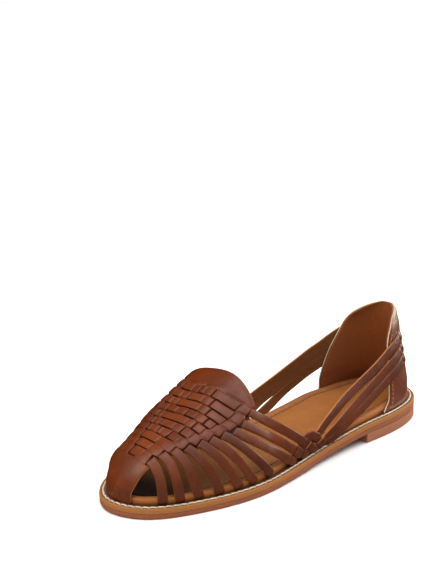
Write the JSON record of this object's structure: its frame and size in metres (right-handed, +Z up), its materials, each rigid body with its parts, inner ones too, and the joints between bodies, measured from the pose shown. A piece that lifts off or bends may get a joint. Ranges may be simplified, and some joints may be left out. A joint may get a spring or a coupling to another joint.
{
  "type": "woven leather sandal",
  "caption": "Flat left-foot woven leather sandal (huarache) with closed woven vamp, slotted side straps, ankle straps into a tall heel counter, and a low heel.",
  "frame": {"origin": "centre of the footprint, on the ground", "axes": "+Y from heel to toe, +X towards the inner (medial) side of the left foot, +Z up"},
  "size_m": [0.0878, 0.25, 0.0706],
  "materials": {
    "outsole_leather": "reddish-brown sole leather, satin edge",
    "heel_leather": "reddish-tan stacked leather, satin edge",
    "midsole_leather": "tan leather layer with off-white stitch row",
    "insole_leather": "smooth tan leather, soft satin",
    "strap_leather": "cognac-brown leather, light sheen, paler cut edges",
    "counter_leather": "cognac-brown leather outside, brown suede lining inside"
  },
  "bodies": {
    "root": {"outsole": "outsole_leather", "heel_block": "heel_leather", "midsole": "midsole_leather", "insole": "insole_leather", "upper": "strap_leather", "heel_counter": "counter_leather"}
  },
  "joints": []
}
